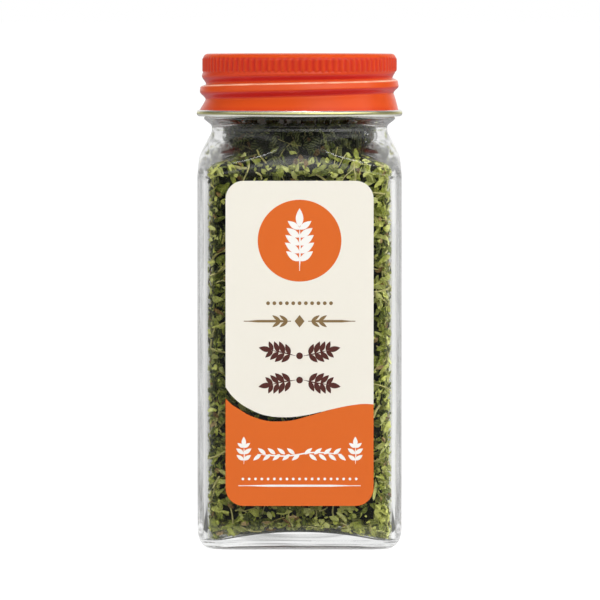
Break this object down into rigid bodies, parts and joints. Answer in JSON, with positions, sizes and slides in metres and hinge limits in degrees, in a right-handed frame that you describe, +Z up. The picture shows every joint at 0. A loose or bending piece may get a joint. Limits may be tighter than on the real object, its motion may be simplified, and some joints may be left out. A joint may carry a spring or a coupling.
{
  "type": "filled glass spice jar with screw cap",
  "caption": "Square clear glass spice jar with rounded corners, full of crushed dried curry leaves, with a front label and a knurled screw cap that turns and lifts off its thread.",
  "frame": {"origin": "middle of the flat base, on the surface that the jar stands on", "axes": "+Z up through the cap, -Y out of the labelled front panel, +X to the right as seen from the front"},
  "size_m": [0.0462, 0.0462, 0.1103],
  "materials": {
    "clear_glass": "polished",
    "label_paper": "satin",
    "dried_leaf": "matte",
    "liner_plastic": "matte",
    "cap_enamel": "satin"
  },
  "bodies": {
    "jar": {"glass_jar": "clear_glass", "front_label": "label_paper", "leaf_fill": "dried_leaf"},
    "liner": {"cap_liner": "liner_plastic"},
    "cap": {"screw_cap": "cap_enamel"}
  },
  "joints": [
    {"name": "cap_lift", "type": "slide", "parent": "jar", "child": "liner", "axis": [0, 0, 1], "range_m": [0, 0.00397]},
    {"name": "cap_turn", "type": "hinge", "parent": "liner", "child": "cap", "pos_m": [0, 0, 0.1035], "axis": [0, 0, 1], "range_deg": [0, 450]}
  ],
  "couplings": [
    {"joint": "cap_lift", "follows": "cap_turn", "m_per_rad": 0.00050532}
  ]
}
